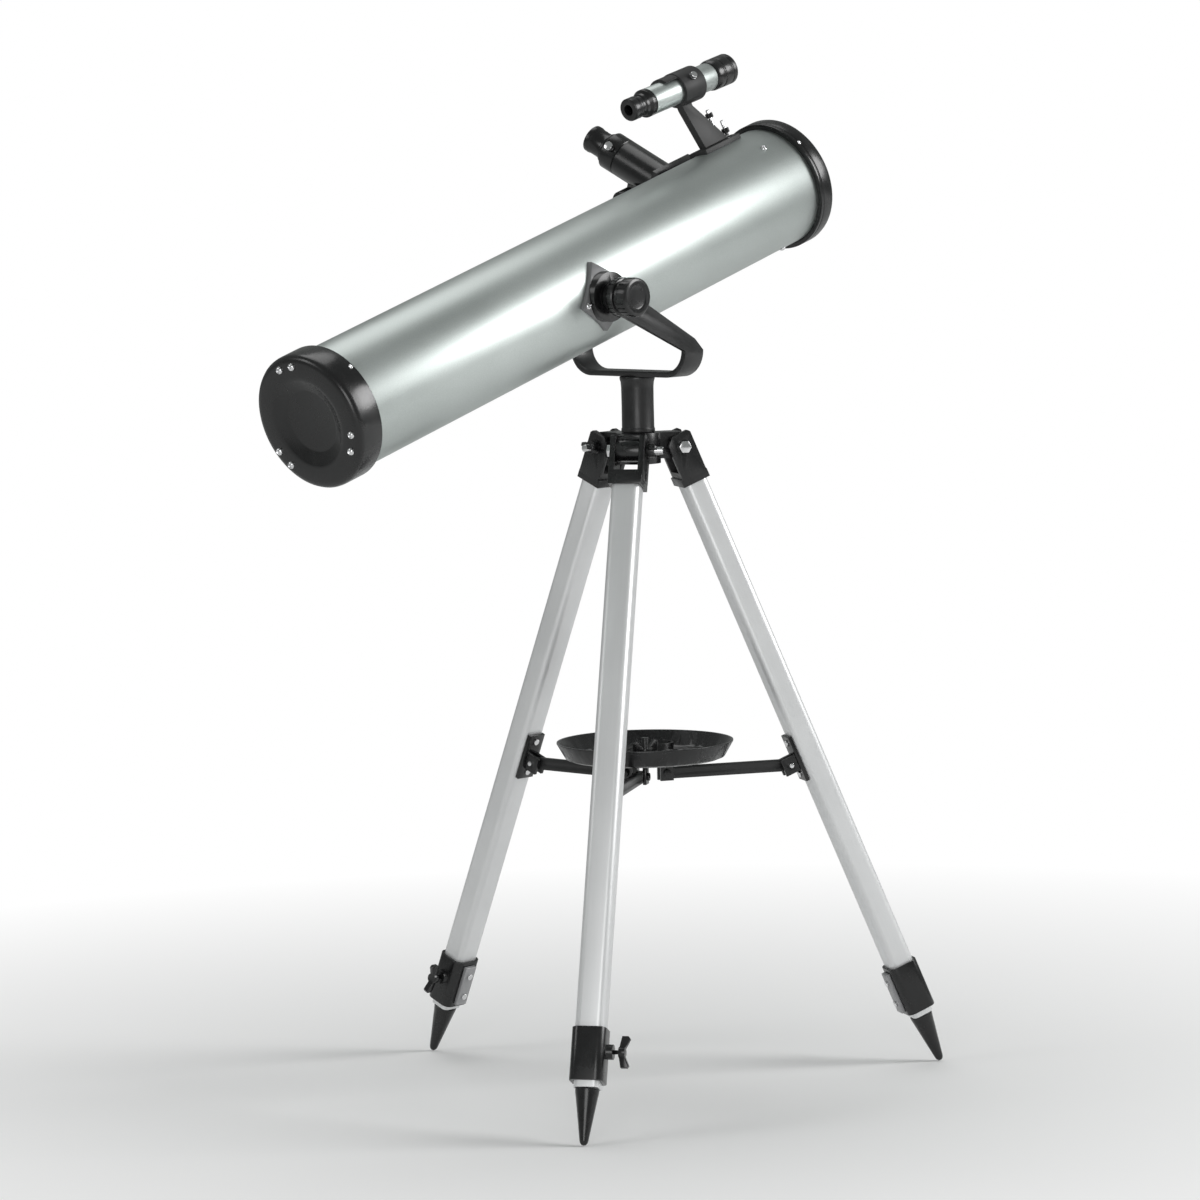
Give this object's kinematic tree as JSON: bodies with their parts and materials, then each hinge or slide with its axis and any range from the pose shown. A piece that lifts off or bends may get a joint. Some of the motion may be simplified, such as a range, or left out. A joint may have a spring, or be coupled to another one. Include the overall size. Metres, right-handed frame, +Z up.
{
  "type": "telescope on tripod",
  "caption": "Reflecting telescope with a side focuser and finder, held by a U-shaped yoke on a folding aluminium tripod with an accessory tray.",
  "frame": {"origin": "on the ground under the azimuth axis, at the level of the three feet", "axes": "+Z up along the azimuth axis, +X along the level heading of the optical tube towards its open end, +Y to the side the eyepiece leans to"},
  "size_m": [0.6106, 0.3983, 0.8414],
  "materials": {
    "silver_paint": "metallic satin",
    "black_gloss": "glossy moulded",
    "black_metal": "semi-gloss enamel",
    "matt_black": "matte",
    "leg_aluminium": "matte anodised",
    "bright_screw": "bright plated",
    "shaft_steel": "turned",
    "mirror": "first-surface"
  },
  "bodies": {
    "tripod_hub": {"tripod_head": "black_gloss", "leg_pivot_bolts": "bright_screw"},
    "mount": {"azimuth_column": "black_metal", "yoke": "black_metal"},
    "optical_tube": {"main_tube": "silver_paint", "rear_cell": "black_gloss", "mirror_carrier": "matt_black", "primary_mirror": "mirror", "mirror_clips": "matt_black", "cell_springs": "shaft_steel", "cell_lock_screws": "bright_screw", "front_ring": "black_gloss", "spider": "matt_black", "tube_screws": "bright_screw", "secondary_holder": "matt_black", "secondary_mirror": "mirror", "focuser_housing": "black_gloss", "finder_bracket": "black_gloss", "finder_tube": "silver_paint", "finder_objective": "black_gloss", "trunnion_bracket_right": "black_metal", "trunnion_bracket_left": "black_metal"},
    "knob_right": {"altitude_knob_right": "black_gloss"},
    "knob_left": {"altitude_knob_left": "black_gloss"},
    "focus_drive": {"pinion_shaft": "shaft_steel", "focus_knob": "black_gloss"},
    "drawtube": {"focuser_drawtube": "black_gloss"},
    "eyepiece_unit": {"eyepiece": "black_gloss"},
    "eyepiece_lock": {"eyepiece_thumbscrew": "bright_screw"},
    "finder_eye": {"finder_eyepiece": "black_gloss"},
    "finder_adjuster_1": {"finder_screw_1": "black_gloss"},
    "finder_adjuster_2": {"finder_screw_2": "black_gloss"},
    "spreader": {"spreader_hub": "black_gloss", "accessory_tray": "black_gloss"},
    "tray_nut": {"tray_wing_nut": "black_gloss"},
    "collimator_1": {"collimation_screw_1": "bright_screw"},
    "collimator_2": {"collimation_screw_2": "bright_screw"},
    "collimator_3": {"collimation_screw_3": "bright_screw"},
    "leg_1": {"leg_channel_1": "leg_aluminium", "leg_head_1": "black_gloss", "leg_fittings_1": "black_gloss"},
    "foot_1": {"inner_leg_1": "leg_aluminium"},
    "leg_lock_1": {"leg_lock_knob_1": "black_gloss"},
    "wing_nut_1": {"leg_wing_nut_1": "black_gloss"},
    "brace_1": {"strut_1": "black_metal"},
    "leg_2": {"leg_channel_2": "leg_aluminium", "leg_head_2": "black_gloss", "leg_fittings_2": "black_gloss"},
    "foot_2": {"inner_leg_2": "leg_aluminium"},
    "leg_lock_2": {"leg_lock_knob_2": "black_gloss"},
    "wing_nut_2": {"leg_wing_nut_2": "black_gloss"},
    "brace_2": {"strut_2": "black_metal"},
    "leg_3": {"leg_channel_3": "leg_aluminium", "leg_head_3": "black_gloss", "leg_fittings_3": "black_gloss"},
    "foot_3": {"inner_leg_3": "leg_aluminium"},
    "leg_lock_3": {"leg_lock_knob_3": "black_gloss"},
    "wing_nut_3": {"leg_wing_nut_3": "black_gloss"},
    "brace_3": {"strut_3": "black_metal"}
  },
  "joints": [
    {"name": "azimuth", "type": "hinge", "parent": "tripod_hub", "child": "mount", "pos_m": [0, 0, 0.583], "axis": [0, 0, 1], "continuous": true},
    {"name": "altitude", "type": "hinge", "parent": "mount", "child": "optical_tube", "pos_m": [-0.092, 0, 0.6524], "axis": [0, -1, 0], "range_deg": [-20, 55]},
    {"name": "altitude_knob_turn_right", "type": "hinge", "parent": "optical_tube", "child": "knob_right", "pos_m": [-0.092, 0, 0.6524], "axis": [0, -1, 0], "range_deg": [0, 720]},
    {"name": "altitude_knob_turn_left", "type": "hinge", "parent": "optical_tube", "child": "knob_left", "pos_m": [-0.092, 0, 0.6524], "axis": [0, 1, 0], "range_deg": [0, 720]},
    {"name": "focus_turn", "type": "hinge", "parent": "optical_tube", "child": "focus_drive", "pos_m": [0.09255, 0.07339, 0.72922], "axis": [-0.9583, 0, -0.2857], "range_deg": [0, 403.49]},
    {"name": "drawtube_slide", "type": "slide", "parent": "optical_tube", "child": "drawtube", "axis": [-0.1428, 0.866, 0.4792], "range_m": [0, 0.02501]},
    {"name": "eyepiece_slide", "type": "slide", "parent": "drawtube", "child": "eyepiece_unit", "axis": [-0.1428, 0.866, 0.4792], "range_m": [0, 0.022]},
    {"name": "eyepiece_lock_turn", "type": "hinge", "parent": "drawtube", "child": "eyepiece_lock", "pos_m": [0.08323, 0.09266, 0.76047], "axis": [-0.8777, -0.3346, 0.343], "range_deg": [0, 720]},
    {"name": "finder_eyepiece_slide", "type": "slide", "parent": "optical_tube", "child": "finder_eye", "axis": [-0.9671, 0.0069, -0.2545], "range_m": [0, 0.008]},
    {"name": "finder_adjuster_turn_1", "type": "hinge", "parent": "optical_tube", "child": "finder_adjuster_1", "pos_m": [0.08856, 0.02217, 0.81505], "axis": [-0.1549, -0.8091, 0.5669], "range_deg": [0, 720]},
    {"name": "finder_adjuster_turn_2", "type": "hinge", "parent": "optical_tube", "child": "finder_adjuster_2", "pos_m": [0.08856, 0.02217, 0.81505], "axis": [-0.0464, 0.9781, 0.2029], "range_deg": [0, 720]},
    {"name": "collimation_turn_1", "type": "hinge", "parent": "optical_tube", "child": "collimator_1", "pos_m": [-0.36678, -0.04017, 0.54819], "axis": [-0.9583, 0, -0.2857], "range_deg": [0, 720]},
    {"name": "collimation_turn_2", "type": "hinge", "parent": "optical_tube", "child": "collimator_2", "pos_m": [-0.38587, 0.00238, 0.61221], "axis": [-0.9583, 0, -0.2857], "range_deg": [0, 720]},
    {"name": "collimation_turn_3", "type": "hinge", "parent": "optical_tube", "child": "collimator_3", "pos_m": [-0.366, 0.03859, 0.54556], "axis": [-0.9583, 0, -0.2857], "range_deg": [0, 720]},
    {"name": "spreader_lift", "type": "slide", "parent": "tripod_hub", "child": "spreader", "axis": [0, 0, 1], "range_m": [0, 0.06048]},
    {"name": "tray_nut_turn", "type": "hinge", "parent": "spreader", "child": "tray_nut", "pos_m": [0, 0, 0.27], "axis": [0, 0, 1], "range_deg": [0, 720]},
    {"name": "leg_fold_1", "type": "hinge", "parent": "tripod_hub", "child": "leg_1", "pos_m": [0.02982, -0.01722, 0.52473], "axis": [0.5, 0.866, 0], "range_deg": [0, 5]},
    {"name": "strut_turn_1", "type": "hinge", "parent": "leg_1", "child": "brace_1", "pos_m": [0.10783, -0.06226, 0.25702], "axis": [0.5, 0.866, 0], "range_deg": [0, 33.76]},
    {"name": "leg_extension_1", "type": "slide", "parent": "leg_1", "child": "foot_1", "axis": [0.3356, -0.1938, -0.9219], "range_m": [0, 0.29]},
    {"name": "leg_lock_turn_1", "type": "hinge", "parent": "leg_1", "child": "leg_lock_1", "pos_m": [0.19441, -0.11224, 0.06875], "axis": [0.5, 0.866, 0], "range_deg": [0, 720]},
    {"name": "wing_nut_turn_1", "type": "hinge", "parent": "tripod_hub", "child": "wing_nut_1", "pos_m": [0.02982, -0.01722, 0.52473], "axis": [0.5, 0.866, 0], "range_deg": [0, 720]},
    {"name": "leg_fold_2", "type": "hinge", "parent": "tripod_hub", "child": "leg_2", "pos_m": [0, 0.03444, 0.52473], "axis": [-1, 0, 0], "range_deg": [0, 5]},
    {"name": "strut_turn_2", "type": "hinge", "parent": "leg_2", "child": "brace_2", "pos_m": [0, 0.12452, 0.25702], "axis": [-1, 0, 0], "range_deg": [0, 33.76]},
    {"name": "leg_extension_2", "type": "slide", "parent": "leg_2", "child": "foot_2", "axis": [0, 0.3875, -0.9219], "range_m": [0, 0.29]},
    {"name": "leg_lock_turn_2", "type": "hinge", "parent": "leg_2", "child": "leg_lock_2", "pos_m": [0, 0.22449, 0.06875], "axis": [-1, 0, 0], "range_deg": [0, 720]},
    {"name": "wing_nut_turn_2", "type": "hinge", "parent": "tripod_hub", "child": "wing_nut_2", "pos_m": [0, 0.03444, 0.52473], "axis": [-1, 0, 0], "range_deg": [0, 720]},
    {"name": "leg_fold_3", "type": "hinge", "parent": "tripod_hub", "child": "leg_3", "pos_m": [-0.02982, -0.01722, 0.52473], "axis": [0.5, -0.866, 0], "range_deg": [0, 5]},
    {"name": "strut_turn_3", "type": "hinge", "parent": "leg_3", "child": "brace_3", "pos_m": [-0.10783, -0.06226, 0.25702], "axis": [0.5, -0.866, 0], "range_deg": [0, 33.76]},
    {"name": "leg_extension_3", "type": "slide", "parent": "leg_3", "child": "foot_3", "axis": [-0.3356, -0.1938, -0.9219], "range_m": [0, 0.29]},
    {"name": "leg_lock_turn_3", "type": "hinge", "parent": "leg_3", "child": "leg_lock_3", "pos_m": [-0.19441, -0.11224, 0.06875], "axis": [0.5, -0.866, 0], "range_deg": [0, 720]},
    {"name": "wing_nut_turn_3", "type": "hinge", "parent": "tripod_hub", "child": "wing_nut_3", "pos_m": [-0.02982, -0.01722, 0.52473], "axis": [0.5, -0.866, 0], "range_deg": [0, 720]}
  ],
  "couplings": [
    {"joint": "drawtube_slide", "follows": "focus_turn", "m_per_rad": 0.00355},
    {"joint": "leg_fold_1", "follows": "spreader_lift", "rad_per_m": 1.443},
    {"joint": "strut_turn_1", "follows": "spreader_lift", "rad_per_m": 9.7424},
    {"joint": "leg_fold_2", "follows": "spreader_lift", "rad_per_m": 1.443},
    {"joint": "strut_turn_2", "follows": "spreader_lift", "rad_per_m": 9.7424},
    {"joint": "leg_fold_3", "follows": "spreader_lift", "rad_per_m": 1.443},
    {"joint": "strut_turn_3", "follows": "spreader_lift", "rad_per_m": 9.7424}
  ]
}
